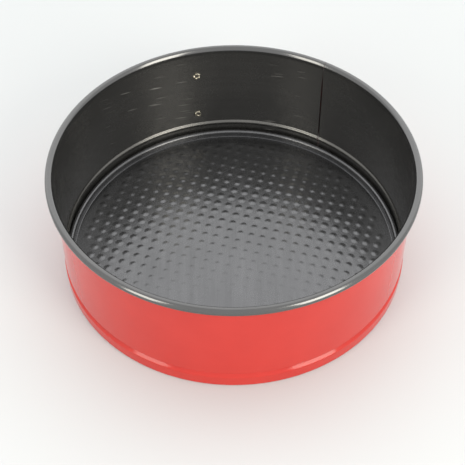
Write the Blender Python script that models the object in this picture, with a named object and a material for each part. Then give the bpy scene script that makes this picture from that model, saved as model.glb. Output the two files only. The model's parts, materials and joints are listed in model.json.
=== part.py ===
"""Springform cake pan, closed, standing on its base.

Metres, +Z up. The pan's axis is Z and its underside is at z = 0. Angles are counted
anticlockwise from +X as seen from above, so the clasp is at the back (70 to 132 degrees).
The real band is one springy strip. It is divided here into four stiff arcs with a flex
hinge between neighbours, so that it can open as the real one does.
"""
from math import atan2, cos, degrees, pi, radians, sin, tan

import bmesh
import bpy
from mathutils import Matrix, Vector

# Band: pressed sheet, rolled rim at the top, rib and base groove at the bottom
SHEET = 0.0005
WALL_RADIUS = 0.10025
WALL_INSIDE = WALL_RADIUS - SHEET / 2
WALL_OUTSIDE = WALL_RADIUS + SHEET / 2
PAN_HEIGHT = 0.0708
RIM_ROLL_RADIUS = 0.00215
RIM_ROLL_TURN = 292
RIB_HEIGHT = 0.0098
RIB_DEPTH = 0.0016
RIB_HALF_WIDTH = 0.003
GROOVE_RADIUS = 0.10065
GROOVE_CORNER = 0.0014
LIP_INSIDE = 0.0989

# Angles, in degrees
SEAM_ANGLE = 56.8
SEAM_GAP = 0.22
FLEX_ANGLES = {"lever_side": 150, "front": 270, "catch_side": 390}
FLEX_GAP = 0.0004
SPREAD_PIVOT_ANGLE = 30
BAND_STEP = 5
RIVET_ANGLE = 103.4
TONGUE_END_ANGLE = 88
HOOK_ANGLE = 80

# Tongue: a strip welded on the outside of one band end, which passes behind the other end
TONGUE_RADIUS = 0.1011
TONGUE_BOTTOM = 0.0143
TONGUE_TOP = 0.0642
WELD_RADIUS = 0.10055
WELD_START_ANGLE = 48
WELD_END_ANGLE = 51
STEP_END_ANGLE = 54.5

# Base plate: one pressed disc with a raised bead that sits in the groove
BASE_SHEET = 0.0006
BASE_EDGE_RADIUS = 0.0998
BEAD_CREST_RADIUS = 0.0984
BEAD_CREST_HEIGHT = 0.0040
BEAD_ROUNDING = 0.0009
BEAD_FOOT_RADIUS = 0.0959
BEAD_FOOT_SOFTENING = 0.0005
BEAD_FOOT_RISE = 0.0002
BASE_EDGE_HEIGHT = 0.0012
BASE_STEPS = 72

# Clasp, seen from outside; heights are measured from the clasp's mid-height
CLASP_HEIGHT = 0.0352
PIVOT_RADIUS = 0.108
CRANK = 0.011
CRANK_ANGLE = 168
PLATE = 0.001
BRACKET_RADIUS = 0.1013
BRACKET_HALF_ANGLE = 5.8
BRACKET_HALF_HEIGHT = 0.0205
EAR_INNER = 0.0065
EAR_ROUND = 0.0042
FLANGE_INNER = 0.0078
LEVER_WEB_RADIUS = 0.1134
LEVER_WEB_HALF_HEIGHT = 0.0083
LEVER_START_ANGLE = 106
LEVER_END_ANGLE = 128
LEVER_FLARE_RADIUS = 0.009
LEVER_FLARE_TURN = 42
FLANGE_SHOULDER = 0.0001
FLANGE_TIP_DEPTH = 0.0025
FLANGE_EXTRA_DEPTH = 0.0055
FLANGE_TAPER_ANGLE = 20
PIN_RADIUS = 0.0015
PIN_HEAD_RADIUS = 0.0026
PIN_HEAD_START = 0.0091
PIN_HEAD_END = 0.0098
PIN_HEAD_CHAMFER = 0.0003
RUNNING_GAP = 0.0003
WIRE_RADIUS = 0.0012
BAIL_HALF_HEIGHT = 0.0114
BAIL_BEND = 0.0026
BAIL_END_HEIGHT = 0.0071
HOOK_WIRE_RADIUS = 0.10435
CATCH_RADIUS = 0.10215
CATCH_START_ANGLE = 70
CATCH_HALF_HEIGHT = 0.0096
CATCH_TAB_SHIFT = 0.0037
CATCH_TAB_TOP = 0.1072
CATCH_BEND = 0.0012

# Rivets
BRACKET_RIVET_SPACING = 0.0315
BRACKET_RIVET_SHANK = 0.0016
BRACKET_RIVET_INNER_HEAD = 0.00205
BRACKET_RIVET_OUTER_HEAD = 0.0026
INNER_HEAD_HEIGHT = 0.0009
INNER_HEAD_EDGE = 0.0004
OUTER_HEAD_HEIGHT = 0.0011
OUTER_HEAD_EDGE = 0.0005
CATCH_RIVET_ANGLE = 73.2
CATCH_RIVET_SPACING = 0.0096
CATCH_RIVET_SHANK = 0.0015
CATCH_RIVET_HEAD = 0.0023
CATCH_HEAD_HEIGHT = 0.0008
CATCH_HEAD_EDGE = 0.0004
CATCH_RIVET_INSET = 0.0001
DRILL_REACH = 0.002


def start_empty():
    """Remove whatever the scene holds."""
    for item in list(bpy.data.objects):
        bpy.data.objects.remove(item, do_unlink=True)


def make_material(name, color, roughness, metallic):
    """A Principled material with one colour."""
    material = bpy.data.materials.new(name)
    material.use_nodes = True
    shader = material.node_tree.nodes["Principled BSDF"]
    shader.inputs["Base Color"].default_value = (*color, 1.0)
    shader.inputs["Roughness"].default_value = roughness
    shader.inputs["Metallic"].default_value = metallic
    material.diffuse_color = (*color, 1.0)
    return material


def polar(radius, angle):
    """The plan point at a radius and an angle in degrees."""
    return Vector((radius * cos(radians(angle)), radius * sin(radians(angle))))


def arc(centre, radius, start, end, count):
    """Plan or profile points along an arc, angles in degrees."""
    step = (end - start) / count
    return [centre + polar(radius, start + step * i) for i in range(count + 1)]


def thicken(path, thickness):
    """Closed outline around an open 2D path."""
    left = []
    right = []
    for i, point in enumerate(path):
        before = path[max(i - 1, 0)]
        after = path[min(i + 1, len(path) - 1)]
        along = (after - before).normalized()
        side = Vector((-along.y, along.x)) * thickness / 2
        left.append(point + side)
        right.append(point - side)
    return left + right[::-1]


def add_object(name, mesh_builder, material):
    """Make a named object from a filled bmesh and put it in the scene."""
    bmesh.ops.recalc_face_normals(mesh_builder, faces=mesh_builder.faces)
    mesh = bpy.data.meshes.new(name)
    mesh_builder.to_mesh(mesh)
    mesh_builder.free()
    mesh.materials.append(material)
    mesh.shade_smooth()
    mesh.set_sharp_from_angle(angle=radians(35))
    item = bpy.data.objects.new(name, mesh)
    bpy.context.scene.collection.objects.link(item)
    return item


def extrude_outline(builder, outline, low, high):
    """Add an upright prism with the given plan outline."""
    bottom = [builder.verts.new((p.x, p.y, low)) for p in outline]
    face = builder.faces.new(bottom)
    lifted = bmesh.ops.extrude_face_region(builder, geom=[face])
    top = [g for g in lifted["geom"] if isinstance(g, bmesh.types.BMVert)]
    bmesh.ops.translate(builder, verts=top, vec=(0, 0, high - low))


def prism(name, outline, low, high, material):
    """One upright prism as an object."""
    builder = bmesh.new()
    extrude_outline(builder, outline, low, high)
    return add_object(name, builder, material)


def sweep(name, profile, start, end, steps, material):
    """Turn a closed (radius, height) profile about Z, between two angles in degrees."""
    builder = bmesh.new()
    ring = []
    for point in profile:
        plan = polar(point.x, start)
        ring.append(builder.verts.new((plan.x, plan.y, point.y)))
    face = builder.faces.new(ring)
    bmesh.ops.spin(
        builder,
        geom=[face] + list(face.edges) + ring,
        cent=(0, 0, 0),
        axis=(0, 0, 1),
        angle=radians(end - start),
        steps=steps,
    )
    return add_object(name, builder, material)


def turned(builder, outline, steps, placement):
    """Add a solid turned from a (radius, height) outline that starts and ends on its axis."""
    rings = []
    for point in outline[1:-1]:
        ring = []
        for i in range(steps):
            plan = polar(point.x, 360 * i / steps)
            ring.append(builder.verts.new(placement @ Vector((plan.x, plan.y, point.y))))
        rings.append(ring)
    for upper, lower in zip(rings, rings[1:]):
        for i in range(steps):
            j = (i + 1) % steps
            builder.faces.new((upper[i], upper[j], lower[j], lower[i]))
    for ring, height in ((rings[0], outline[0].y), (rings[-1], outline[-1].y)):
        tip = builder.verts.new(placement @ Vector((0, 0, height)))
        for i in range(steps):
            builder.faces.new((ring[i], ring[(i + 1) % steps], tip))


def radial_placement(angle, height):
    """Matrix whose Z axis points outward from the pan's axis, starting on that axis."""
    outward = polar(1, angle)
    sideways = Vector((-outward.y, outward.x))
    matrix = Matrix.Identity(4)
    matrix.col[0] = (sideways.x, sideways.y, 0, 0)
    matrix.col[1] = (0, 0, 1, 0)
    matrix.col[2] = (outward.x, outward.y, 0, 0)
    matrix.col[3] = (0, 0, height, 1)
    return matrix


def upright_placement(point):
    """Matrix that puts a turned solid upright at a plan point, at clasp height."""
    return Matrix.Translation((point.x, point.y, CLASP_HEIGHT))


def use_tool(target, tool, operation):
    """Join a tool to the target, or cut it away, and keep the tool out of the model."""
    tool.hide_render = True
    tool.display_type = "WIRE"
    step = target.modifiers.new(tool.name, "BOOLEAN")
    step.operation = operation
    step.solver = "EXACT"
    step.object = tool


def set_origin(item, point):
    """Move the object's origin to a point without moving its shape."""
    offset = Vector(point)
    item.data.transform(Matrix.Translation(-offset))
    item.location = offset


def cut_holes(target, radius, placements, low, high, material):
    """Cut round holes along the Z axes of the placements, from low to high on them."""
    builder = bmesh.new()
    outline = [Vector((0, low)), Vector((radius, low)), Vector((radius, high)), Vector((0, high))]
    for placement in placements:
        turned(builder, outline, 16, placement)
    drill = add_object(f"{target.name}_drill_{len(target.modifiers)}", builder, material)
    use_tool(target, drill, "DIFFERENCE")


def band_profile():
    """Closed outline of the band's section, from the rolled rim down to the lip."""
    roll_centre = Vector((WALL_RADIUS + RIM_ROLL_RADIUS, PAN_HEIGHT - RIM_ROLL_RADIUS - SHEET / 2))
    path = arc(roll_centre, RIM_ROLL_RADIUS, 180 - RIM_ROLL_TURN, 180, 9)
    rib_steps = 8
    for i in range(rib_steps + 1):
        share = i / rib_steps
        height = RIB_HEIGHT + RIB_HALF_WIDTH * (1 - 2 * share)
        dip = RIB_DEPTH * (1 - cos(2 * pi * share)) / 2
        outer = WALL_RADIUS + (GROOVE_RADIUS - WALL_RADIUS) * max(0, 2 * share - 1)
        path.append(Vector((outer - dip, height)))
    corner = Vector((GROOVE_RADIUS - GROOVE_CORNER, GROOVE_CORNER + SHEET / 2))
    path += arc(corner, GROOVE_CORNER, 0, -90, 4)
    path.append(Vector((LIP_INSIDE, SHEET / 2)))
    deduped = [path[0]]
    for point in path[1:]:
        if (point - deduped[-1]).length > SHEET / 5:
            deduped.append(point)
    return thicken(deduped, SHEET)


def band_arc(name, start, end, material):
    """One stiff arc of the band; start and end are its hinge or seam angles."""
    steps = max(round((end - start) / BAND_STEP), 1)
    return sweep(name, band_profile(), start, end, steps, material)


def flex_point(side):
    """A point on a flex hinge's upright axis, which lies in the wall's mid-surface."""
    plan = polar(WALL_RADIUS, FLEX_ANGLES[side])
    return (plan.x, plan.y, 0)


def spread_pivot():
    """A point on the upright axis about which the left arc moves out evenly from the base."""
    return (WALL_RADIUS * tan(radians(SPREAD_PIVOT_ANGLE)), -WALL_RADIUS, 0)


def rivet_placements(angle, spacing):
    """The two radial rivet axes at an angle, above and below clasp height."""
    return [radial_placement(angle, CLASP_HEIGHT + side * spacing / 2) for side in (1, -1)]


def smooth_share(share):
    """Smooth step from 0 to 1."""
    return share * share * (3 - 2 * share)


def tongue_path():
    """Plan path of the tongue: on the wall, a step outward, then round behind the other end."""
    centre = Vector((0, 0))
    path = arc(centre, WELD_RADIUS, WELD_START_ANGLE, WELD_END_ANGLE, 2)
    step_count = 6
    for i in range(1, step_count):
        share = i / step_count
        radius = WELD_RADIUS + (TONGUE_RADIUS - WELD_RADIUS) * smooth_share(share)
        path.append(polar(radius, WELD_END_ANGLE + (STEP_END_ANGLE - WELD_END_ANGLE) * share))
    return path + arc(centre, TONGUE_RADIUS, STEP_END_ANGLE, TONGUE_END_ANGLE, 12)


def build_band(material):
    """The four arcs of the band, with the tongue on one end and rivet holes in both."""
    half_gap = degrees(FLEX_GAP / 2 / WALL_RADIUS)
    front = FLEX_ANGLES["front"]
    lever_side = FLEX_ANGLES["lever_side"]
    catch_side = FLEX_ANGLES["catch_side"]

    left = band_arc("band_left", lever_side + half_gap, front - half_gap, material)
    right = band_arc("band_right", front + half_gap, catch_side - half_gap, material)
    lever_end = band_arc(
        "band_lever_end", SEAM_ANGLE + SEAM_GAP / 2, lever_side - half_gap, material
    )
    catch_end = band_arc(
        "band_catch_end", catch_side - 360 + half_gap, SEAM_ANGLE - SEAM_GAP / 2, material
    )

    tongue = prism(
        "tongue", thicken(tongue_path(), SHEET), TONGUE_BOTTOM, TONGUE_TOP, material
    )
    use_tool(catch_end, tongue, "UNION")

    cut_holes(
        lever_end,
        BRACKET_RIVET_SHANK + RUNNING_GAP,
        rivet_placements(RIVET_ANGLE, BRACKET_RIVET_SPACING),
        WALL_INSIDE - DRILL_REACH,
        WALL_OUTSIDE + DRILL_REACH,
        material,
    )
    cut_holes(
        catch_end,
        CATCH_RIVET_SHANK + RUNNING_GAP,
        rivet_placements(CATCH_RIVET_ANGLE, CATCH_RIVET_SPACING),
        TONGUE_RADIUS - DRILL_REACH,
        TONGUE_RADIUS + DRILL_REACH,
        material,
    )
    set_origin(left, spread_pivot())
    set_origin(right, flex_point("front"))
    set_origin(lever_end, flex_point("lever_side"))
    set_origin(catch_end, flex_point("catch_side"))


def build_base(material):
    """The base: flat floor, upward step, rounded bead, and an edge that dips into the groove."""
    floor_height = BASE_SHEET / 2
    rise = Vector((BEAD_CREST_RADIUS - BEAD_FOOT_RADIUS, BEAD_CREST_HEIGHT - floor_height))
    slope = degrees(atan2(rise.y, rise.x))
    crest = Vector((BEAD_CREST_RADIUS, BEAD_CREST_HEIGHT - BEAD_ROUNDING - BASE_SHEET / 2))
    flat_radius = BEAD_FOOT_RADIUS - BEAD_FOOT_SOFTENING
    path = [Vector((0, floor_height)), Vector((flat_radius, floor_height))]
    path.append(Vector((BEAD_FOOT_RADIUS, floor_height + BEAD_FOOT_RISE)))
    path += arc(crest, BEAD_ROUNDING, 90 + slope, 90 - slope, 5)
    path.append(Vector((BASE_EDGE_RADIUS, BASE_EDGE_HEIGHT)))
    outline = thicken(path, BASE_SHEET)
    outline[0].x = 0
    outline[-1].x = 0
    builder = bmesh.new()
    turned(builder, outline, BASE_STEPS, Matrix.Identity(4))
    add_object("base_plate", builder, material)


def pivot_plan():
    """Plan position of the lever's pivot."""
    return polar(PIVOT_RADIUS, RIVET_ANGLE)


def clasp_offset(along, outward):
    """Plan point at an offset from the pivot: along to the right, outward from the pan."""
    out = polar(1, RIVET_ANGLE)
    right = Vector((out.y, -out.x))
    return pivot_plan() + right * along + out * outward


def crank_plan():
    """Plan position of the holes where the wire bail joins the lever."""
    turn = radians(CRANK_ANGLE)
    return clasp_offset(CRANK * cos(turn), CRANK * sin(turn))


def pivot_round(start, end, count):
    """Plan points around the pivot; angles in degrees from the rightward direction."""
    points = []
    for i in range(count + 1):
        turn = radians(start + (end - start) * i / count)
        points.append(clasp_offset(EAR_ROUND * cos(turn), EAR_ROUND * sin(turn)))
    return points


def build_bracket(material):
    """Riveted bracket: curved plate with two round-ended ears."""
    start = RIVET_ANGLE - BRACKET_HALF_ANGLE
    end = RIVET_ANGLE + BRACKET_HALF_ANGLE
    plate = thicken(arc(Vector((0, 0)), BRACKET_RADIUS, start, end, 4), PLATE)
    low = CLASP_HEIGHT - BRACKET_HALF_HEIGHT
    high = CLASP_HEIGHT + BRACKET_HALF_HEIGHT
    bracket = prism("lever_bracket", plate, low, high, material)

    root = BRACKET_RADIUS - PIVOT_RADIUS
    ear = pivot_round(0, 180, 8)
    ear += [clasp_offset(-EAR_ROUND, root), clasp_offset(EAR_ROUND, root)]
    builder = bmesh.new()
    extrude_outline(builder, ear, CLASP_HEIGHT + EAR_INNER, CLASP_HEIGHT + EAR_INNER + PLATE)
    extrude_outline(builder, ear, CLASP_HEIGHT - EAR_INNER - PLATE, CLASP_HEIGHT - EAR_INNER)
    use_tool(bracket, add_object("bracket_ears", builder, material), "UNION")

    reach = EAR_INNER + 2 * PLATE
    cut_holes(
        bracket,
        PIN_RADIUS + RUNNING_GAP,
        [upright_placement(pivot_plan())],
        -reach,
        reach,
        material,
    )
    cut_holes(
        bracket,
        BRACKET_RIVET_SHANK + RUNNING_GAP,
        rivet_placements(RIVET_ANGLE, BRACKET_RIVET_SPACING),
        BRACKET_RADIUS - 2 * PLATE,
        BRACKET_RADIUS + 2 * PLATE,
        material,
    )


def build_rivets(material):
    """The two rivets of the lever bracket, and the two of the catch plate."""
    inner_face = WALL_INSIDE - RUNNING_GAP
    outer_face = BRACKET_RADIUS + PLATE / 2 + RUNNING_GAP
    bracket_rivet = [
        Vector((0, inner_face - INNER_HEAD_HEIGHT)),
        Vector((BRACKET_RIVET_INNER_HEAD * 0.75, inner_face - INNER_HEAD_HEIGHT)),
        Vector((BRACKET_RIVET_INNER_HEAD, inner_face - INNER_HEAD_EDGE)),
        Vector((BRACKET_RIVET_INNER_HEAD, inner_face)),
        Vector((BRACKET_RIVET_SHANK, inner_face)),
        Vector((BRACKET_RIVET_SHANK, outer_face)),
        Vector((BRACKET_RIVET_OUTER_HEAD, outer_face)),
        Vector((BRACKET_RIVET_OUTER_HEAD, outer_face + OUTER_HEAD_EDGE)),
        Vector((BRACKET_RIVET_OUTER_HEAD * 0.7, outer_face + OUTER_HEAD_HEIGHT)),
        Vector((0, outer_face + OUTER_HEAD_HEIGHT)),
    ]
    flush = TONGUE_RADIUS - SHEET / 2 + CATCH_RIVET_INSET
    face = CATCH_RADIUS + PLATE / 2 + RUNNING_GAP
    catch_rivet = [
        Vector((0, flush)),
        Vector((CATCH_RIVET_SHANK, flush)),
        Vector((CATCH_RIVET_SHANK, face)),
        Vector((CATCH_RIVET_HEAD, face)),
        Vector((CATCH_RIVET_HEAD, face + CATCH_HEAD_EDGE)),
        Vector((CATCH_RIVET_HEAD * 0.7, face + CATCH_HEAD_HEIGHT)),
        Vector((0, face + CATCH_HEAD_HEIGHT)),
    ]
    rows = (
        ("bracket_rivet", bracket_rivet, RIVET_ANGLE, BRACKET_RIVET_SPACING),
        ("catch_rivet", catch_rivet, CATCH_RIVET_ANGLE, CATCH_RIVET_SPACING),
    )
    for name, outline, angle, spacing in rows:
        for place, placement in zip(("upper", "lower"), rivet_placements(angle, spacing)):
            builder = bmesh.new()
            turned(builder, outline, 16, placement)
            add_object(name + "_" + place, builder, material)


def lever_web_path():
    """Plan path of the lever's outer web, ending in a thumb piece that turns outward."""
    centre = Vector((0, 0))
    path = arc(centre, LEVER_WEB_RADIUS, LEVER_START_ANGLE, LEVER_END_ANGLE, 11)
    flare_centre = polar(LEVER_WEB_RADIUS + LEVER_FLARE_RADIUS, LEVER_END_ANGLE)
    first = LEVER_END_ANGLE + 180
    flare = arc(flare_centre, LEVER_FLARE_RADIUS, first, first - LEVER_FLARE_TURN, 6)
    return path + flare[1:]


def lever_flange_outline():
    """Plan outline of a lever flange: round at the pivot, tapering towards the thumb piece."""
    centre = Vector((0, 0))
    outer = LEVER_WEB_RADIUS + PLATE / 2 - FLANGE_SHOULDER
    outline = pivot_round(-110, 60, 10)
    outline += arc(centre, outer, LEVER_START_ANGLE - 0.5, LEVER_END_ANGLE, 11)
    inner_steps = 8
    for i in range(inner_steps + 1):
        share = i / inner_steps
        depth = FLANGE_TIP_DEPTH + FLANGE_EXTRA_DEPTH * smooth_share(share)
        outline.append(polar(outer - depth, LEVER_END_ANGLE - FLANGE_TAPER_ANGLE * share))
    return outline


def build_lever(material):
    """Stamped lever: outer web with two flanges, on the pivot pin."""
    low = CLASP_HEIGHT - LEVER_WEB_HALF_HEIGHT
    high = CLASP_HEIGHT + LEVER_WEB_HALF_HEIGHT
    lever = prism("lever", thicken(lever_web_path(), PLATE), low, high, material)
    outline = lever_flange_outline()
    builder = bmesh.new()
    flange_low = CLASP_HEIGHT - FLANGE_INNER - PLATE
    extrude_outline(builder, outline, flange_low, CLASP_HEIGHT - FLANGE_INNER)
    flange_low = CLASP_HEIGHT + FLANGE_INNER
    extrude_outline(builder, outline, flange_low, flange_low + PLATE)
    use_tool(lever, add_object("lever_flanges", builder, material), "UNION")

    reach = FLANGE_INNER + 2 * PLATE
    cut_holes(
        lever,
        PIN_RADIUS + RUNNING_GAP,
        [upright_placement(pivot_plan())],
        -reach,
        reach,
        material,
    )
    cut_holes(
        lever,
        WIRE_RADIUS + RUNNING_GAP,
        [upright_placement(crank_plan())],
        -reach,
        reach,
        material,
    )
    pivot = pivot_plan()
    set_origin(lever, (pivot.x, pivot.y, CLASP_HEIGHT))


def build_pivot_pin(material):
    """Headed pin through the bracket's ears and the lever's flanges."""
    outline = [Vector((0, PIN_HEAD_END)), Vector((PIN_HEAD_RADIUS * 0.8, PIN_HEAD_END))]
    outline += [Vector((PIN_HEAD_RADIUS, PIN_HEAD_END - PIN_HEAD_CHAMFER))]
    outline += [Vector((PIN_HEAD_RADIUS, PIN_HEAD_START)), Vector((PIN_RADIUS, PIN_HEAD_START))]
    outline += [Vector((point.x, -point.y)) for point in outline[::-1]]
    builder = bmesh.new()
    turned(builder, outline, 16, upright_placement(pivot_plan()))
    add_object("lever_pivot_pin", builder, material)


def round_corners(corners, radius, count):
    """3D path through the corners with each inner corner rounded."""
    path = [corners[0]]
    for before, corner, after in zip(corners, corners[1:], corners[2:]):
        start = corner + (before - corner).normalized() * radius
        end = corner + (after - corner).normalized() * radius
        for i in range(count + 1):
            share = i / count
            path.append(start.lerp(corner, share).lerp(corner.lerp(end, share), share))
    return path + [corners[-1]]


def build_bail(material):
    """Bent wire bail: its ends turn into the lever's holes, its loop goes over the hook."""
    crank = crank_plan()
    hook = polar(HOOK_WIRE_RADIUS, HOOK_ANGLE)
    corners = [
        Vector((crank.x, crank.y, CLASP_HEIGHT + BAIL_END_HEIGHT)),
        Vector((crank.x, crank.y, CLASP_HEIGHT + BAIL_HALF_HEIGHT)),
        Vector((hook.x, hook.y, CLASP_HEIGHT + BAIL_HALF_HEIGHT)),
        Vector((hook.x, hook.y, CLASP_HEIGHT - BAIL_HALF_HEIGHT)),
        Vector((crank.x, crank.y, CLASP_HEIGHT - BAIL_HALF_HEIGHT)),
        Vector((crank.x, crank.y, CLASP_HEIGHT - BAIL_END_HEIGHT)),
    ]
    origin = Vector((crank.x, crank.y, CLASP_HEIGHT))
    path = round_corners(corners, BAIL_BEND, 5)
    curve = bpy.data.curves.new("wire_bail", "CURVE")
    curve.dimensions = "3D"
    curve.bevel_depth = WIRE_RADIUS
    curve.bevel_resolution = 2
    curve.use_fill_caps = True
    spline = curve.splines.new("POLY")
    spline.points.add(len(path) - 1)
    for knot, point in zip(spline.points, path):
        knot.co = (*(point - origin), 1)
    curve.materials.append(material)
    bail = bpy.data.objects.new("wire_bail", curve)
    bail.location = origin
    bpy.context.scene.collection.objects.link(bail)


def build_catch(material):
    """Catch plate on the tongue, its end bent outward as the hook for the bail."""
    tab_angle = HOOK_ANGLE + degrees(CATCH_TAB_SHIFT / HOOK_WIRE_RADIUS)
    bend_angle = tab_angle - degrees(CATCH_BEND / CATCH_RADIUS)
    path = arc(Vector((0, 0)), CATCH_RADIUS, CATCH_START_ANGLE, bend_angle, 5)
    bend_centre = polar(CATCH_RADIUS + CATCH_BEND, bend_angle)
    path += arc(bend_centre, CATCH_BEND, bend_angle + 180, bend_angle + 90, 4)[1:]
    path.append(path[-1] + polar(CATCH_TAB_TOP - CATCH_RADIUS - CATCH_BEND, tab_angle))
    low = CLASP_HEIGHT - CATCH_HALF_HEIGHT
    high = CLASP_HEIGHT + CATCH_HALF_HEIGHT
    catch = prism("catch_plate", thicken(path, PLATE), low, high, material)
    cut_holes(
        catch,
        CATCH_RIVET_SHANK + RUNNING_GAP,
        rivet_placements(CATCH_RIVET_ANGLE, CATCH_RIVET_SPACING),
        CATCH_RADIUS - 2 * PLATE,
        CATCH_RADIUS + 2 * PLATE,
        material,
    )


def build_pan():
    """Build every piece of the pan."""
    start_empty()
    paint = make_material("red_paint", (0.72, 0.07, 0.06), 0.3, 0.0)
    coating = make_material("non_stick_coating", (0.07, 0.07, 0.072), 0.42, 0.3)
    plated = make_material("plated_steel", (0.62, 0.62, 0.60), 0.28, 1.0)
    build_band(paint)
    build_base(coating)
    build_bracket(plated)
    build_rivets(plated)
    build_lever(plated)
    build_pivot_pin(plated)
    build_bail(plated)
    build_catch(plated)


build_pan()
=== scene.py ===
"""Looks of the springform pan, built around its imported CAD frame.

Metres, +Z up. The pan's axis is Z, its underside is at z = 0 and the clasp is at the back.
Angles are in degrees, anticlockwise from +X as seen from above.
"""
import json
from math import ceil, cos, pi, radians, sin

import bmesh
import bpy
from mathutils import Matrix, Vector
from mathutils.geometry import delaunay_2d_cdt


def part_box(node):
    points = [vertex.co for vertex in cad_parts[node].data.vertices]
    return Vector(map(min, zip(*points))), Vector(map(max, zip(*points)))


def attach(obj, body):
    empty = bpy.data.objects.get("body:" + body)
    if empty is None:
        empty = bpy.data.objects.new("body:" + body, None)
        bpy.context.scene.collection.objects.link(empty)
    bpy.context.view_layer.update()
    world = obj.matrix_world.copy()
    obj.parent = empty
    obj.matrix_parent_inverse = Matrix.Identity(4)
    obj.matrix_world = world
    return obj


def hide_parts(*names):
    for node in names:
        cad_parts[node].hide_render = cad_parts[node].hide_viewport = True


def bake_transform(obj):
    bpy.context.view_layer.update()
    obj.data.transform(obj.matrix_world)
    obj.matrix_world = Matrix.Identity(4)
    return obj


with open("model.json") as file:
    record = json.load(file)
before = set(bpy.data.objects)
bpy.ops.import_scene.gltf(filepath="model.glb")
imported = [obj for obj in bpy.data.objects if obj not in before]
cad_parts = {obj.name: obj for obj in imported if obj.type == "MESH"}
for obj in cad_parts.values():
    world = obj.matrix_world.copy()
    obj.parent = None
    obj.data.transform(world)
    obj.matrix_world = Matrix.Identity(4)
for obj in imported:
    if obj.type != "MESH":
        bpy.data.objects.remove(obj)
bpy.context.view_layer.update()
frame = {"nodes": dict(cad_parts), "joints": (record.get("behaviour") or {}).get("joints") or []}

MM = 0.001

# Sizes and places that the frame gives
PAN_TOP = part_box("band_left")[1].z
BASE_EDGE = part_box("base_plate")[1].x
JOINTS = {joint["name"]: joint for joint in frame["joints"]}
PIVOT = Vector(JOINTS["lever_pivot"]["pos_m"])
CRANK = Vector(JOINTS["bail_pivot"]["pos_m"])
CLASP_HEIGHT = PIVOT.z

# Band section
SHEET = 0.5 * MM
WALL = 100.25 * MM
RIM_ROLL = 2.15 * MM
RIM_ROLL_TURN = 292
RIM_SHOULDER = 4.2 * MM
RIB_TOP = 11.8 * MM
RIB_MIDDLE = 10.0 * MM
RIB_BOTTOM = 7.4 * MM
RIB_DEPTH = 1.2 * MM
GROOVE_SHIFT = 0.4 * MM
GROOVE_CORNER = 1.4 * MM
LIP_INSIDE = 98.9 * MM

# Places round the pan, and the spacing of what stands there
SEAM = 56.8
SEAM_HALF_GAP = 0.07
# Width of the painted shade along the seam's gap
SEAM_SHADE_WIDTH = 0.65 * MM
BAND_STEP = 1.5
LEFT_JOIN = 210
RIGHT_JOIN = 330
RIVET_ANGLE = 103.4
RIVET_SPACING = 31.5 * MM
CATCH_RIVET_ANGLE = 73.2
CATCH_RIVET_SPACING = 9.6 * MM
HOOK_ANGLE = 80

# Tongue
TONGUE_RADIUS = 101.1 * MM
WELD_RADIUS = 100.72 * MM
TONGUE_BOTTOM = 14.3 * MM
TONGUE_TOP = 64.2 * MM
TONGUE_CORNER = 5 * MM
TONGUE_SHEET = 0.42 * MM
TONGUE_START = 48.3
TONGUE_JOG_START = 51
TONGUE_JOG_END = 54.5
TONGUE_END = 88

# Rub marks on the inner wall; each area has its middle and its reach in degrees
RUBS_PER_METRE = (52, 0, 560)
RUB_LIFT = 19 * MM
LEFT_RUBS = (122, 22)
RIGHT_RUBS = (72, 10)

# Base plate
BASE_SHEET = 0.6 * MM
BASE_FOOT = 95.9 * MM
STEP_WIDTH = 0.30 * MM
STEP_HEIGHT = 0.14 * MM
FOOT_ROUNDING = 0.35 * MM
BEAD_CREST = 98.4 * MM
BEAD_ROUNDING = 1.45 * MM
BEAD_HEIGHT = 4.0 * MM
BUMP_PITCH = 6.83 * MM
BUMP_TURN = -16
BUMP_PLACE = (2.1 * MM, 3.0 * MM)
BUMP_RADIUS = 2.9 * MM
BUMP_HEIGHT = 0.30 * MM
BUMP_RINGS = 6
BUMP_SPOKES = 12
BUMP_FIELD = 90 * MM
FIELD_EDGE = 93 * MM
BASE_SPOKES = 360

# Clasp; its faces, the shank's foot and the hook are radii from the pan's axis
RIVET_SHANK = 1.5 * MM
BRACKET_FACE = 101.8 * MM
CATCH_FACE = 102.66 * MM
CATCH_SHANK = 1.4 * MM
CATCH_SHANK_FOOT = 100.95 * MM
HOOK_RADIUS = 104.35 * MM
PIN_HALF = 9.9 * MM
PIN_RADIUS = 1.5 * MM
WIRE_RADIUS = 1.2 * MM
WIRE_BEND = 2.6 * MM
BAIL_HALF = 11.4 * MM
BAIL_END = 7.1 * MM

# Colours, from darker to lighter where there are two
PAINT_COLORS = ((0.435, 0.025, 0.018), (0.465, 0.029, 0.021))
WALL_COLORS = ((0.120, 0.118, 0.112), (0.158, 0.155, 0.147))
PLATE_COLORS = ((0.120, 0.121, 0.124), (0.155, 0.156, 0.160))
RIM_COLOR = (0.132, 0.134, 0.138)
RUB_COLOR = (0.38, 0.375, 0.35)
# Painted shade of the seam's narrow gap, near-black below and dark red higher up
SEAM_SHADE_COLORS = ((0.006, 0.005, 0.005), (0.030, 0.008, 0.007))
# Painted shade for the cut edges and the rivets' hollows, dark red and near-black
EDGE_SHADE_COLORS = ((0.03, 0.025, 0.024), (0.10, 0.008, 0.007))
NICKEL_COLOR = (0.56, 0.52, 0.42)
PLATED_COLOR = (0.50, 0.50, 0.49)
FLOOR_COLORS = ((0.555, 0.575, 0.578), (0.575, 0.595, 0.598))

# Depth of the surface relief in the materials
FINE_RELIEF = 0.2 * MM
SCRATCH_RELIEF = 0.1 * MM

# Surroundings
WORLD_FRONT = 1.1
WORLD_BACK = 1.8
TOWARD_BACK = (0, 1, 0.35)
FADE_START = 0.28
FADE_END = 0.62
LIGHT_COLOR = (1.0, 0.96, 0.86)
LIGHT_DISTANCE = 1.6
FLOOR_HALF = 3.0

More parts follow.
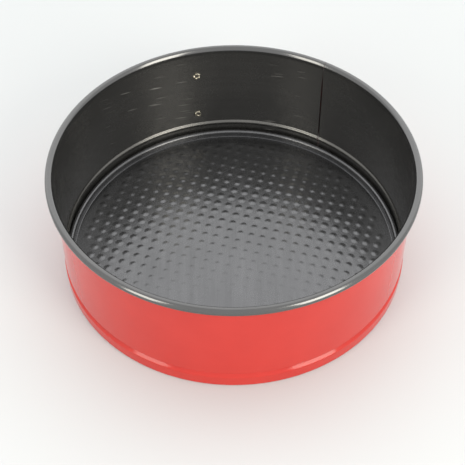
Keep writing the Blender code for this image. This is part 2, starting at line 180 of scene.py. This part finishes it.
# Camera, with its last small turns in radians about its own axes
CAMERA_PLACE = (0, -0.4298, 0.4942)
CAMERA_AIM = (0, 0, -0.0021)
CAMERA_TURNS = {"X": 0.0145, "Y": 0.0013, "Z": -0.0025}
CAMERA_LENS = 83.9


def polar(radius, angle):
    """The plan point at a radius and an angle in degrees."""
    return Vector((radius * cos(radians(angle)), radius * sin(radians(angle))))


def arc(centre, radius, start, end, count):
    """Points along an arc, angles in degrees."""
    step = (end - start) / count
    return [centre + polar(radius, start + step * i) for i in range(count + 1)]


def smooth_share(share):
    """Smooth step from 0 to 1."""
    share = min(max(share, 0), 1)
    return share * share * (3 - 2 * share)


def path_sides(path):
    """Unit left normals of an open 2D path."""
    sides = []
    for i in range(len(path)):
        along = (path[min(i + 1, len(path) - 1)] - path[max(i - 1, 0)]).normalized()
        sides.append(Vector((-along.y, along.x)))
    return sides


def make_object(name, vertices, faces, materials, face_materials=None, normals=None):
    """A smooth-shaded mesh object from lists of points and faces."""
    mesh = bpy.data.meshes.new(name)
    mesh.from_pydata(vertices, [], faces)
    for material in materials:
        mesh.materials.append(material)
    if face_materials:
        mesh.polygons.foreach_set("material_index", face_materials)
    mesh.shade_smooth()
    mesh.update()
    if normals:
        mesh.normals_split_custom_set_from_vertices(normals)
    item = bpy.data.objects.new(name, mesh)
    bpy.context.scene.collection.objects.link(item)
    return item


# ---------------------------------------------------------------- materials


class Nodes:
    """Short ways to add shader nodes to one material."""

    def __init__(self, name):
        self.material = bpy.data.materials.new(name)
        self.material.use_nodes = True
        self.tree = self.material.node_tree
        self.shader = self.tree.nodes["Principled BSDF"]

    def add(self, kind, inputs=(), **settings):
        """A node with its settings, and its inputs as (key, value or socket) pairs."""
        node = self.tree.nodes.new("ShaderNode" + kind)
        for key, value in settings.items():
            setattr(node, key, value)
        for key, value in inputs:
            if isinstance(value, bpy.types.NodeSocket):
                self.tree.links.new(value, node.inputs[key])
            else:
                node.inputs[key].default_value = value
        return node

    def place(self):
        """Position on the piece at rest, in metres."""
        return self.add("TexCoord").outputs["Object"]

    def math(self, operation, first, second=0.0):
        """The result of one arithmetic step on numbers or sockets."""
        return self.add("Math", [(0, first), (1, second)], operation=operation).outputs[0]

    def noise(self, vector, scale, detail=3.0, roughness=0.55):
        """Soft noise from 0 to 1; the scale is in waves per metre."""
        inputs = [("Vector", vector), ("Scale", scale), ("Detail", detail), ("Roughness", roughness)]
        return self.add("TexNoise", inputs).outputs["Fac"]

    def stretch(self, vector, scale):
        """The vector with each axis scaled."""
        node = self.add("VectorMath", [(0, vector), (1, scale)], operation="MULTIPLY")
        return node.outputs[0]

    def spread(self, value, low, high, to_low=0.0, to_high=1.0):
        """The value mapped from one range to another and kept inside it."""
        inputs = [("Value", value), (1, low), (2, high), (3, to_low), (4, to_high)]
        return self.add("MapRange", inputs).outputs["Result"]

    def mix(self, share, first, second):
        """The first colour turning into the second; each is three numbers or a socket."""
        ends = [c if isinstance(c, bpy.types.NodeSocket) else (*c, 1) for c in (first, second)]
        inputs = [("Factor", share), (6, ends[0]), (7, ends[1])]
        return self.add("Mix", inputs, data_type="RGBA").outputs[2]

    def round_place(self):
        """(distance round the pan, radius, height) in metres, then the angle and the height."""
        parts = self.add("SeparateXYZ", [(0, self.place())])
        x, y, z = parts.outputs
        angle = self.math("ARCTAN2", y, x)
        squares = self.math("ADD", self.math("MULTIPLY", x, x), self.math("MULTIPLY", y, y))
        radius = self.math("SQRT", squares)
        round_way = self.math("MULTIPLY", angle, WALL)
        return self.add("CombineXYZ", [(0, round_way), (1, radius), (2, z)]).outputs[0], angle, z

    def bump(self, height, strength, distance):
        """The surface's normal with a relief pressed into it."""
        inputs = [("Height", height), ("Strength", strength), ("Distance", distance)]
        return self.add("Bump", inputs).outputs["Normal"]

    def set(self, **values):
        """Set Principled inputs; names use _ for spaces."""
        for key, value in values.items():
            socket = self.shader.inputs[key.replace("_", " ")]
            if isinstance(value, bpy.types.NodeSocket):
                self.tree.links.new(value, socket)
            else:
                socket.default_value = value
        return self.material


def red_paint():
    """Glossy red enamel with a faint orange-peel surface."""
    n = Nodes("glossy_red_paint")
    place = n.place()
    cloud = n.noise(place, 40)
    peel = n.noise(place, 900, 1)
    return n.set(
        Base_Color=n.mix(n.spread(cloud, 0.3, 0.7), *PAINT_COLORS),
        Roughness=n.spread(cloud, 0.3, 0.7, 0.09, 0.13),
        Specular_IOR_Level=0.36,
        Normal=n.bump(peel, 0.06, FINE_RELIEF),
    )


def sheet_coating(n, lines_place, colors):
    """Satin dark grey non-stick coating: its colour, its roughness and its grain.

    The rolling lines run along the axis that lines_place squeezes.
    """
    place = n.place()
    lines = n.noise(lines_place, 1500, 2)
    bands = n.noise(lines_place, 320, 2)
    cloud = n.noise(place, 28, 4)
    specks = n.noise(place, 2600, 2)
    tone = n.math("ADD", n.math("MULTIPLY", lines, 0.3), n.math("MULTIPLY", bands, 0.3))
    tone = n.math("ADD", tone, n.math("MULTIPLY", cloud, 0.4))
    color = n.mix(n.spread(tone, 0.35, 0.65), *colors)
    cloudy = n.spread(cloud, 0.3, 0.7, 0.22, 0.29)
    rough = n.math("ADD", cloudy, n.spread(specks, 0.3, 0.7, -0.03, 0.03))
    grain = n.math("ADD", n.math("MULTIPLY", lines, 0.5), n.math("MULTIPLY", specks, 0.5))
    return color, rough, grain


def plate_coating():
    """Coating of the base plate, with rolling lines from front to back."""
    n = Nodes("non_stick_floor")
    lines_place = n.stretch(n.place(), (1, 0.03, 1))
    color, rough, grain = sheet_coating(n, lines_place, PLATE_COLORS)
    relief = n.bump(grain, 0.12, FINE_RELIEF)
    return n.set(Base_Color=color, Roughness=rough, Metallic=0.88, Normal=relief)


def wall_coating():
    """Coating of the wall and the rolled rim, with rolling lines round the pan."""
    n = Nodes("non_stick_wall")
    round_way, angle, height = n.round_place()
    lines_place = n.stretch(round_way, (0.03, 0, 1))
    color, rough, grain = sheet_coating(n, lines_place, WALL_COLORS)
    rubs = wall_rubs(n, angle, height)
    color = n.mix(rubs, color, RUB_COLOR)
    rough = n.math("ADD", rough, n.math("MULTIPLY", rubs, 0.3))

    rolled = n.spread(height, PAN_TOP - 2 * RIM_ROLL, PAN_TOP - RIM_ROLL)
    color = n.mix(n.math("MULTIPLY", rolled, 0.6), color, RIM_COLOR)
    rough = n.math("SUBTRACT", rough, n.math("MULTIPLY", rolled, 0.10))
    grain = n.math("MULTIPLY", grain, n.math("SUBTRACT", 1.0, n.math("MULTIPLY", rolled, 0.85)))

    # Painted shade along the seam's narrow gap, laid over the coating
    seam, seam_shade_color = painted_seam_shade(n, angle, height)
    return n.set(
        Base_Color=n.mix(seam, color, seam_shade_color),
        Metallic=n.spread(rubs, 0.0, 1.0, 0.88, 0.3),
        Roughness=rough,
        Normal=n.bump(grain, 0.2, FINE_RELIEF),
    )


def painted_seam_shade(n, angle, height):
    """Painted shade of the narrow gap along the seam, near-black and dark red higher up: its
    strength, and its colour.
    """
    line = near(n, angle, radians(SEAM), SEAM_SHADE_WIDTH / WALL)
    above = n.spread(height, RIB_BOTTOM, RIB_MIDDLE)
    below = n.spread(height, PAN_TOP - 16 * MM, PAN_TOP - 9 * MM, 1.0, 0.0)
    upward = n.spread(height, PAN_TOP * 0.4, PAN_TOP * 0.7)
    return n.math("MULTIPLY", line, n.math("MULTIPLY", above, below)), n.mix(upward, *SEAM_SHADE_COLORS)


def wall_rubs(n, angle, height):
    """Short faint rub marks on the inner wall beside the rivets, rising away from the back."""
    from_back = n.math("SUBTRACT", angle, pi / 2)
    lift = n.math("MULTIPLY", n.math("MULTIPLY", from_back, from_back), RUB_LIFT)
    along = n.math("MULTIPLY", angle, WALL)
    sloped = n.add("CombineXYZ", [(0, along), (2, n.math("SUBTRACT", height, lift))]).outputs[0]
    inputs = [("Vector", n.stretch(sloped, RUBS_PER_METRE)), ("Scale", 1.0), ("Randomness", 1.0)]
    cells = n.add("TexVoronoi", inputs, feature="F1")
    streak = n.spread(cells.outputs["Distance"], 0.10, 0.28, 1.0, 0.0)
    chance = n.add("SeparateColor", [(0, cells.outputs["Color"])]).outputs[0]
    some = n.spread(chance, 0.60, 0.80)
    left = near(n, angle, *map(radians, LEFT_RUBS))
    right = near(n, angle, *map(radians, RIGHT_RUBS))
    low = n.spread(height, 50 * MM, 68 * MM, 1.0, 0.2)
    area = n.math("MULTIPLY", n.math("MAXIMUM", left, n.math("MULTIPLY", right, 0.7)), low)
    return n.math("MULTIPLY", n.math("MULTIPLY", streak, some), area)


def near(n, value, middle, reach):
    """1 at the middle value, falling to 0 at its reach."""
    away = n.math("ABSOLUTE", n.math("SUBTRACT", value, middle))
    return n.spread(away, reach * 0.4, reach, 1.0, 0.0)


def bright_metal(name, color, rough_low, rough_high, scratch):
    """Plated metal with fine scratches and slightly uneven polish."""
    n = Nodes(name)
    place = n.place()
    cloud = n.noise(place, 180, 3)
    fine = n.noise(n.stretch(place, (1, 1, 6)), 1500, 2)
    dull = tuple(part * 0.82 for part in color)
    return n.set(
        Base_Color=n.mix(n.spread(cloud, 0.35, 0.7), color, dull),
        Metallic=1.0,
        Roughness=n.spread(cloud, 0.3, 0.7, rough_low, rough_high),
        Normal=n.bump(fine, scratch, SCRATCH_RELIEF),
    )


def edge_and_hollow_shade():
    """Cut sheet edge, painted over in dark red with near-black patches at random; its darkness is
    painted shade, so the seam's gap and the rivets' hollows read dark.
    """
    n = Nodes("cut_edge_and_hollow_shade")
    dark_patches = n.noise(n.place(), 700, 3)
    return n.set(
        Base_Color=n.mix(n.spread(dark_patches, 0.45, 0.65), EDGE_SHADE_COLORS[1], EDGE_SHADE_COLORS[0]),
        Roughness=n.spread(dark_patches, 0.3, 0.7, 0.35, 0.55),
    )


# ---------------------------------------------------------------- band


def rim_path():
    """The rolled rim's middle line, from its hidden edge over the top and down to the wall."""
    centre = Vector((WALL + RIM_ROLL, PAN_TOP - RIM_ROLL - SHEET / 2))
    path = arc(centre, RIM_ROLL, 180 - RIM_ROLL_TURN, 90, 20)
    shoulder_rows = 12
    for i in range(1, shoulder_rows + 1):
        turn = pi / 2 * (1 + i / shoulder_rows)
        drop = RIM_SHOULDER * (1 - sin(turn))
        path.append(Vector((centre.x + RIM_ROLL * cos(turn), centre.y + RIM_ROLL - drop)))
    return path


def rib_path():
    """The rib's middle line, from the wall inward and out again to the groove."""
    path = []
    flank_rows = 15
    for i in range(flank_rows):
        share = i / flank_rows
        inset = RIB_DEPTH * smooth_share(share)
        path.append(Vector((WALL - inset, RIB_TOP + (RIB_MIDDLE - RIB_TOP) * share)))
    for i in range(flank_rows + 1):
        share = i / flank_rows
        inset = RIB_DEPTH - (RIB_DEPTH + GROOVE_SHIFT) * smooth_share(share)
        path.append(Vector((WALL - inset, RIB_MIDDLE + (RIB_BOTTOM - RIB_MIDDLE) * share)))
    return path


def band_path():
    """The middle line of the band's section, from the rolled rim to the lip."""
    path = rim_path()
    wall_top = path[-1].y
    wall_rows = 8
    for i in range(1, wall_rows):
        path.append(Vector((WALL, wall_top + (RIB_TOP - wall_top) * i / wall_rows)))
    path += rib_path()
    corner = Vector((WALL + GROOVE_SHIFT - GROOVE_CORNER, GROOVE_CORNER + SHEET / 2))
    path += arc(corner, GROOVE_CORNER, 0, -90, 10)
    path.append(Vector((LIP_INSIDE, SHEET / 2)))
    return path


def band_piece(name, start, end, materials):
    """A stretch of the band as a closed sheet.

    The materials are the paint outside, the coating inside and the cut edge, in that order.
    """
    path = band_path()
    sides = path_sides(path)
    ring = [p + s * SHEET / 2 for p, s in zip(path, sides)]
    ring += [p - s * SHEET / 2 for p, s in zip(path[::-1], sides[::-1])]
    ring_normals = sides + [-s for s in sides[::-1]]
    count = len(ring)
    half = len(path)
    steps = ceil((end - start) / BAND_STEP)
    vertices = []
    normals = []
    for i in range(steps + 1):
        out = polar(1, start + (end - start) * i / steps)
        vertices += [(p.x * out.x, p.x * out.y, p.y) for p in ring]
        normals += [(s.x * out.x, s.x * out.y, s.y) for s in ring_normals]
    faces = []
    kinds = []
    for i in range(steps):
        for j in range(count):
            k = (j + 1) % count
            faces.append((i * count + j, i * count + k, (i + 1) * count + k, (i + 1) * count + j))
            kinds.append(0 if j < half - 1 else 1)
    last = steps * count
    for j in range(half - 1):
        mirror = count - 1 - j
        faces.append((mirror, mirror - 1, j + 1, j))
        faces.append((last + j, last + j + 1, last + mirror - 1, last + mirror))
        kinds += [2, 2]
    return make_object(name, vertices, faces, materials, kinds, normals)


def tongue_heights(along, length):
    """Bottom and top of the tongue at a distance from its start; its corners are rounded."""
    to_end = min(along, length - along, TONGUE_CORNER)
    inset = TONGUE_CORNER - (TONGUE_CORNER**2 - (TONGUE_CORNER - to_end) ** 2) ** 0.5
    return TONGUE_BOTTOM + inset, TONGUE_TOP - inset


def tongue_path():
    """The tongue's plan: welded to the catch end, then stepping out behind the lever end."""
    centre = Vector((0, 0))
    path = arc(centre, WELD_RADIUS, TONGUE_START, TONGUE_JOG_START, 3)
    jog_rows = 7
    for i in range(1, jog_rows):
        share = i / jog_rows
        radius = WELD_RADIUS + (TONGUE_RADIUS - WELD_RADIUS) * smooth_share(share)
        path.append(polar(radius, TONGUE_JOG_START + (TONGUE_JOG_END - TONGUE_JOG_START) * share))
    return path + arc(centre, TONGUE_RADIUS, TONGUE_JOG_END, TONGUE_END, 40)


def tongue_plate(name, materials):
    """The tongue as a closed curved plate, with the same three materials as the band."""
    path = tongue_path()
    sides = path_sides(path)
    lengths = [0]
    for before, after in zip(path, path[1:]):
        lengths.append(lengths[-1] + (after - before).length)
    rows = 6
    vertices = []
    for side_sign in (1, -1):
        for point, side, along in zip(path, sides, lengths):
            low, high = tongue_heights(along, lengths[-1])
            place = point + side * side_sign * TONGUE_SHEET / 2
            vertices += [(place.x, place.y, low + (high - low) * i / rows) for i in range(rows + 1)]
    columns = len(path)
    outer = columns * (rows + 1)

    def at(column, row, face=0):
        return face + column * (rows + 1) + row

    faces = []
    kinds = []
    for i in range(columns - 1):
        for j in range(rows):
            faces.append((at(i, j), at(i, j + 1), at(i + 1, j + 1), at(i + 1, j)))
            faces.append(tuple(outer + v for v in faces[-1][::-1]))
            kinds += [1, 0]
        for j, order in ((0, 1), (rows, -1)):
            edge = (at(i, j), at(i + 1, j), at(i + 1, j, outer), at(i, j, outer))
            faces.append(edge[::order])
            kinds.append(2)
    for i, order in ((0, -1), (columns - 1, 1)):
        for j in range(rows):
            edge = (at(i, j), at(i, j + 1), at(i, j + 1, outer), at(i, j, outer))
            faces.append(edge[::order])
            kinds.append(2)
    item = make_object(name, vertices, faces, materials, kinds)
    item.data.set_sharp_from_angle(angle=radians(40))
    return item


def build_band(paint, inside, edge):
    """The band's three stretches and its tongue."""
    materials = [paint, inside, edge]
    lever_side = band_piece("band_lever_side", SEAM + SEAM_HALF_GAP, LEFT_JOIN, materials)
    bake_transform(lever_side)
    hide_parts("band_lever_end", "band_left")

    front = band_piece("band_front", LEFT_JOIN, RIGHT_JOIN, materials)
    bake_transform(front)
    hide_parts("band_left", "band_right")

    seam_side = band_piece("band_catch_side", RIGHT_JOIN, 360 + SEAM - SEAM_HALF_GAP, materials)
    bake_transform(seam_side)
    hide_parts("band_right", "band_catch_end")

    tongue = tongue_plate("band_tongue", materials)
    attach(tongue, "catch_end")


# ---------------------------------------------------------------- base


def base_section():
    """The middle line of the base plate's section, from the smooth margin to the outer edge."""
    floor = BASE_SHEET / 2
    points = [Vector((FIELD_EDGE, floor))]
    step_rows = 8
    for i in range(step_rows + 1):
        share = i / step_rows
        rise = STEP_HEIGHT * smooth_share(share)
        points.append(Vector((BASE_FOOT - STEP_WIDTH * (1 - share), floor + rise)))
    foot = Vector((BASE_FOOT + 0.7 * MM, floor + STEP_HEIGHT + FOOT_ROUNDING))
    crest = Vector((BEAD_CREST, BEAD_HEIGHT - BASE_SHEET / 2 - BEAD_ROUNDING))
    points += arc(foot, FOOT_ROUNDING, -90, -12, 6)
    points += arc(crest, BEAD_ROUNDING, 168, 14, 18)
    points.append(Vector((BASE_EDGE - 0.2 * MM, 1.2 * MM)))
    return points


def bump_centres():
    """Centres of the raised bumps: a square grid inside the bump field."""
    across = polar(BUMP_PITCH, BUMP_TURN)
    along = Vector((-across.y, across.x))
    start = Vector(BUMP_PLACE)
    reach = ceil(BUMP_FIELD / BUMP_PITCH) + 1
    centres = []
    for i in range(-reach, reach + 1):
        for j in range(-reach, reach + 1):
            centre = start + across * i + along * j
            if centre.length < BUMP_FIELD:
                centres.append(centre)
    return centres


def bump_points():
    """Plan points over all bumps, each with its lift and its slope."""
    points = []
    for centre in bump_centres():
        points.append((centre, BUMP_HEIGHT, Vector((0, 0))))
        for i in range(1, BUMP_RINGS + 1):
            share = i / BUMP_RINGS
            lift = BUMP_HEIGHT * (1 + cos(pi * share)) / 2
            steep = -BUMP_HEIGHT * pi / 2 / BUMP_RADIUS * sin(pi * share)
            for j in range(BUMP_SPOKES):
                way = polar(1, 360 * (j + i % 2 / 2) / BUMP_SPOKES)
                points.append((centre + way * BUMP_RADIUS * share, lift, way * steep))
    return points


def bump_field():
    """The middle surface of the base's flat floor: points, normals, faces and its edge ring."""
    points = bump_points()
    edge_start = len(points)
    for i in range(BASE_SPOKES):
        points.append((polar(FIELD_EDGE, 360 * i / BASE_SPOKES), 0, Vector((0, 0))))
    loop = [(edge_start + i, edge_start + (i + 1) % BASE_SPOKES) for i in range(BASE_SPOKES)]
    plan = [point[0] for point in points]
    made = delaunay_2d_cdt(plan, loop, [], 1, 1e-7)
    places = made[0]
    triangles = made[2]
    sources = [origins[0] for origins in made[3]]
    middle = []
    normals = []
    for place, source in zip(places, sources):
        _, lift, slope = points[source]
        middle.append(Vector((place.x, place.y, BASE_SHEET / 2 + lift)))
        normals.append(Vector((-slope.x, -slope.y, 1)).normalized())
    faces = [tuple(triangle) for triangle in triangles]
    index_of = {source: index for index, source in enumerate(sources)}
    ring = [index_of[edge_start + i] for i in range(BASE_SPOKES)]
    return middle, normals, faces, ring


def add_base_rim(middle, normals, faces, ring):
    """Sweep the base's section round from the floor's edge ring; returns the outermost ring."""
    section = base_section()
    sides = path_sides(section)
    for point, side in zip(section[1:], sides[1:]):
        first = len(middle)
        for i in range(BASE_SPOKES):
            way = polar(1, 360 * i / BASE_SPOKES)
            middle.append(Vector((point.x * way.x, point.x * way.y, point.y)))
            normals.append(Vector((side.x * way.x, side.x * way.y, side.y)))
        for i in range(BASE_SPOKES):
            j = (i + 1) % BASE_SPOKES
            faces.append((ring[i], first + i, first + j, ring[j]))
        ring = [first + i for i in range(BASE_SPOKES)]
    return ring


def build_base(material):
    """Base plate: pressed bumps, smooth margin, raised bead and outer edge, as one sheet."""
    middle, normals, faces, ring = bump_field()
    ring = add_base_rim(middle, normals, faces, ring)
    count = len(middle)
    vertices = [p + n * BASE_SHEET / 2 for p, n in zip(middle, normals)]
    vertices += [p - n * BASE_SHEET / 2 for p, n in zip(middle, normals)]
    faces += [tuple(v + count for v in face[::-1]) for face in faces]
    for i in range(BASE_SPOKES):
        j = (i + 1) % BASE_SPOKES
        faces.append((ring[i], ring[i] + count, ring[j] + count, ring[j]))
    normals += [-n for n in normals]
    base = make_object("base_sheet", vertices, faces, [material], None, normals)
    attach(base, "base")
    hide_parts("base_plate")


# ---------------------------------------------------------------- clasp


def radial_placement(angle, height):
    """Matrix whose Z axis points outward from the pan's axis, starting on that axis."""
    out = polar(1, angle)
    matrix = Matrix.Identity(4)
    matrix.col[0] = (-out.y, out.x, 0, 0)
    matrix.col[1] = (0, 0, 1, 0)
    matrix.col[2] = (out.x, out.y, 0, 0)
    matrix.col[3] = (0, 0, height, 1)
    return matrix


def turned(name, outline, placement, materials, steps=48, lobes=0, lobe_depth=0.0, lobe_limit=0.0):
    """A closed solid turned from a (radius, height) outline that starts and ends on its axis.

    Points with a height under lobe_limit are pinched into lobes. A second material, where
    there is one, goes on the first two rings, which are the inside of a hollow shank.
    """
    vertices = [placement @ Vector((0, 0, outline[0].y))]
    for point in outline[1:-1]:
        for i in range(steps):
            radius = point.x
            height = point.y
            if lobes and height < lobe_limit:
                wave = cos(lobes * 2 * pi * i / steps)
                radius *= 1 + 0.5 * lobe_depth * wave
                height += (lobe_limit - height) * lobe_depth * (1 - wave)
            plan = polar(radius, 360 * i / steps)
            vertices.append(placement @ Vector((plan.x, plan.y, height)))
    vertices.append(placement @ Vector((0, 0, outline[-1].y)))
    faces = []
    kinds = []
    rows = len(outline) - 2
    inner = len(materials) - 1
    for i in range(steps):
        j = (i + 1) % steps
        faces.append((0, 1 + j, 1 + i))
        kinds.append(inner)
        for k in range(rows - 1):
            low = 1 + k * steps
            faces.append((low + i, low + j, low + steps + j, low + steps + i))
            kinds.append(inner if k == 0 else 0)
        last = 1 + (rows - 1) * steps
        faces.append((last + i, last + j, len(vertices) - 1))
        kinds.append(0)
    item = make_object(name, vertices, faces, materials, kinds)
    item.data.set_sharp_from_angle(angle=radians(50))
    return item


def bracket_rivet_outline():
    """Outline of a hollow rivet: curled over inside the pan, domed outside."""
    inside = WALL - SHEET / 2
    curl = 0.66 * MM
    reach = 2.25 * MM
    centre = Vector((reach - curl, inside - curl * 0.55))
    outline = [Vector((0, inside + 2.0 * MM)), Vector((0.85 * MM, inside + 1.9 * MM))]
    outline += [Vector((0.95 * MM, inside - 0.1 * MM))]
    outline += arc(centre, curl, 190, 360, 12)
    outline += [Vector((reach, inside + 0.02 * MM)), Vector((RIVET_SHANK, inside + 0.03 * MM))]
    outline += [Vector((RIVET_SHANK, BRACKET_FACE + 0.03 * MM))]
    outline += [Vector((2.6 * MM, BRACKET_FACE + 0.05 * MM))]
    outline += arc(Vector((1.9 * MM, BRACKET_FACE + 0.35 * MM)), 0.7 * MM, 0, 80, 6)
    outline += [Vector((0, BRACKET_FACE + 1.13 * MM))]
    return outline


def build_bracket_rivets(material, hollow):
    """The two rivets of the lever bracket; their curled ends split into five and three lobes."""
    outline = bracket_rivet_outline()
    limit = WALL - SHEET / 2 - 0.25 * MM
    for side, place, lobes, depth in ((1, "upper", 5, 0.3), (-1, "lower", 3, 0.2)):
        axis = radial_placement(RIVET_ANGLE, CLASP_HEIGHT + side * RIVET_SPACING / 2)
        # The hollow shank's inside takes the dark edge material: painted shade in the hole
        rivet = turned("rivet_" + place, outline, axis, [material, hollow], 60, lobes, depth, limit)
        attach(rivet, "lever_end")
        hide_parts("bracket_rivet_" + place)


def build_catch_rivets(material):
    """The two domed rivets of the catch plate."""
    outline = [Vector((0, CATCH_SHANK_FOOT)), Vector((CATCH_SHANK, CATCH_SHANK_FOOT))]
    outline += [Vector((CATCH_SHANK, CATCH_FACE)), Vector((2.25 * MM, CATCH_FACE + 0.02 * MM))]
    outline += arc(Vector((1.75 * MM, CATCH_FACE + 0.4 * MM)), 0.5 * MM, -20, 75, 6)
    outline += [Vector((0, CATCH_FACE + 1.02 * MM))]
    for side, place in ((1, "upper"), (-1, "lower")):
        axis = radial_placement(CATCH_RIVET_ANGLE, CLASP_HEIGHT + side * CATCH_RIVET_SPACING / 2)
        rivet = turned("catch_stud_" + place, outline, axis, [material])
        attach(rivet, "catch_end")
        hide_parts("catch_rivet_" + place)


def build_pin(material):
    """Pivot pin with a domed head at each end."""
    upper = [Vector((0, PIN_HALF)), Vector((1.2 * MM, PIN_HALF - 0.05 * MM))]
    upper += arc(Vector((2.1 * MM, PIN_HALF - 0.55 * MM)), 0.5 * MM, 80, -30, 6)
    upper += [Vector((PIN_RADIUS, PIN_HALF - 0.8 * MM))]
    lower = [Vector((p.x, -p.y)) for p in upper]
    pin = turned("pivot_pin", lower + upper[::-1], Matrix.Translation(PIVOT), [material])
    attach(pin, "lever_end")
    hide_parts("lever_pivot_pin")


def bail_corners():
    """The wire's ends and the sharp corners of its route, at the clasp's height."""
    hook = polar(HOOK_RADIUS, HOOK_ANGLE)
    crank = Vector((CRANK.x, CRANK.y, 0))
    far = Vector((hook.x, hook.y, 0))
    up = Vector((0, 0, 1))
    corners = [crank + up * BAIL_END, crank + up * BAIL_HALF, far + up * BAIL_HALF]
    return corners + [Vector((p.x, p.y, -p.z)) for p in corners[::-1]]


def rounded(corners, reach):
    """A route with each inner corner replaced by a smooth bend."""
    rows = 12
    points = [corners[0]]
    for before, corner, after in zip(corners, corners[1:], corners[2:]):
        start = corner + (before - corner).normalized() * reach
        finish = corner + (after - corner).normalized() * reach
        for i in range(rows + 1):
            share = i / rows
            points.append(start.lerp(corner, share).lerp(corner.lerp(finish, share), share))
    points.append(corners[-1])
    return points


def build_bail(material):
    """Round wire bail with smooth bends."""
    corners = bail_corners()
    up = Vector((0, 0, 1))
    points = [p + up * CLASP_HEIGHT for p in rounded(corners, WIRE_BEND)]
    side = (corners[2] - corners[1]).normalized().cross(up)
    vertices = []
    faces = []
    spokes = 20
    for i, point in enumerate(points):
        along = (points[min(i + 1, len(points) - 1)] - points[max(i - 1, 0)]).normalized()
        other = side.cross(along)
        for j in range(spokes):
            turn = 2 * pi * j / spokes
            vertices.append(point + (side * cos(turn) + other * sin(turn)) * WIRE_RADIUS)
    for i in range(len(points) - 1):
        for j in range(spokes):
            k = (j + 1) % spokes
            low = i * spokes
            faces.append((low + j, low + spokes + j, low + spokes + k, low + k))
    faces.append(tuple(range(spokes)))
    faces.append(tuple(range(len(vertices) - 1, len(vertices) - spokes - 1, -1)))
    bail = make_object("wire_bail_loop", vertices, faces, [material])
    bail.data.set_sharp_from_angle(angle=radians(50))
    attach(bail, "bail")
    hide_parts("wire_bail")


def finish_stampings(material):
    """The stamped CAD pieces keep their shape and get softened edges and a plated finish."""
    for name in ("lever_bracket", "lever", "catch_plate"):
        node = frame["nodes"][name]
        node.data.materials.clear()
        node.data.materials.append(material)
        weld = node.modifiers.new("weld", "WELD")
        weld.merge_threshold = 0.01 * MM
        bevel = node.modifiers.new("soft_edges", "BEVEL")
        bevel.width = 0.18 * MM
        bevel.segments = 2
        bevel.angle_limit = radians(50)
        bevel.harden_normals = True


# ---------------------------------------------------------------- surroundings


def build_floor():
    """Plain pale floor, faintly cool."""
    n = Nodes("pale_floor")
    cloud = n.noise(n.place(), 3)
    material = n.set(Base_Color=n.mix(cloud, *FLOOR_COLORS), Roughness=0.7)
    builder = bmesh.new()
    bmesh.ops.create_grid(builder, x_segments=8, y_segments=8, size=FLOOR_HALF)
    mesh = bpy.data.meshes.new("floor")
    builder.to_mesh(mesh)
    builder.free()
    mesh.materials.append(material)
    floor = bpy.data.objects.new("floor", mesh)
    bpy.context.scene.collection.objects.link(floor)


def build_world():
    """Soft bright surroundings, brighter behind and above than in front."""
    world = bpy.data.worlds.new("soft_studio")
    world.use_nodes = True
    bpy.context.scene.world = world
    tree = world.node_tree
    background = tree.nodes["Background"]
    background.inputs["Color"].default_value = (1, 1, 1, 1)
    place = tree.nodes.new("ShaderNodeTexCoord")
    toward_back = tree.nodes.new("ShaderNodeVectorMath")
    toward_back.operation = "DOT_PRODUCT"
    toward_back.inputs[1].default_value = TOWARD_BACK
    tree.links.new(place.outputs["Generated"], toward_back.inputs[0])
    lift = tree.nodes.new("ShaderNodeMapRange")
    lift.interpolation_type = "SMOOTHSTEP"
    lift.inputs["From Min"].default_value = FADE_START
    lift.inputs["From Max"].default_value = FADE_END
    lift.inputs["To Min"].default_value = WORLD_FRONT
    lift.inputs["To Max"].default_value = WORLD_BACK
    tree.links.new(toward_back.outputs["Value"], lift.inputs["Value"])
    tree.links.new(lift.outputs["Result"], background.inputs["Strength"])


def softbox(name, azimuth, elevation, size, power):
    """A rectangular area light that looks at the pan; the azimuth goes from the front to +X."""
    light = bpy.data.lights.new(name, "AREA")
    light.shape = "RECTANGLE"
    light.size, light.size_y = size
    light.energy = power
    light.color = LIGHT_COLOR
    item = bpy.data.objects.new(name, light)
    side = radians(azimuth)
    rise = radians(elevation)
    way = Vector((sin(side) * cos(rise), -cos(side) * cos(rise), sin(rise)))
    item.location = way * LIGHT_DISTANCE
    item.rotation_mode = "QUATERNION"
    item.rotation_quaternion = (-way).to_track_quat("-Z", "Y")
    bpy.context.scene.collection.objects.link(item)


def build_lights():
    """Two warm softboxes in front, at the left and at the right."""
    softbox("softbox_left", -46, 20, size=(0.50, 1.2), power=9.5)
    softbox("softbox_right", 44, 21, size=(0.66, 1.3), power=18)


def build_camera():
    """Camera in front and above, looking down into the pan."""
    data = bpy.data.cameras.new("camera")
    data.lens = CAMERA_LENS
    data.sensor_width = 36
    data.clip_start = 0.01
    data.clip_end = 20
    camera = bpy.data.objects.new("camera", data)
    camera.location = CAMERA_PLACE
    aim = (Vector(CAMERA_AIM) - camera.location).to_track_quat("-Z", "Y")
    placement = Matrix.Translation(camera.location) @ aim.to_matrix().to_4x4()
    for axis, turn in CAMERA_TURNS.items():
        placement = placement @ Matrix.Rotation(turn, 4, axis)
    camera.matrix_world = placement
    bpy.context.scene.collection.objects.link(camera)
    bpy.context.scene.camera = camera


def build_scene():
    """The pan, piece by piece, and its surroundings."""
    paint = red_paint()
    inside = wall_coating()
    plate = plate_coating()
    # Cut edges and rivet hollows, darkened as painted shade
    edge = edge_and_hollow_shade()
    nickel = bright_metal("warm_nickel", NICKEL_COLOR, 0.16, 0.30, 0.15)
    plated = bright_metal("plated_stamping", PLATED_COLOR, 0.22, 0.36, 0.25)
    build_band(paint, inside, edge)
    build_base(plate)
    build_bracket_rivets(nickel, edge)
    build_catch_rivets(plated)
    build_pin(plated)
    build_bail(plated)
    finish_stampings(plated)
    build_floor()
    build_world()
    build_lights()
    build_camera()
    bpy.context.scene.view_settings.view_transform = "Standard"


build_scene()
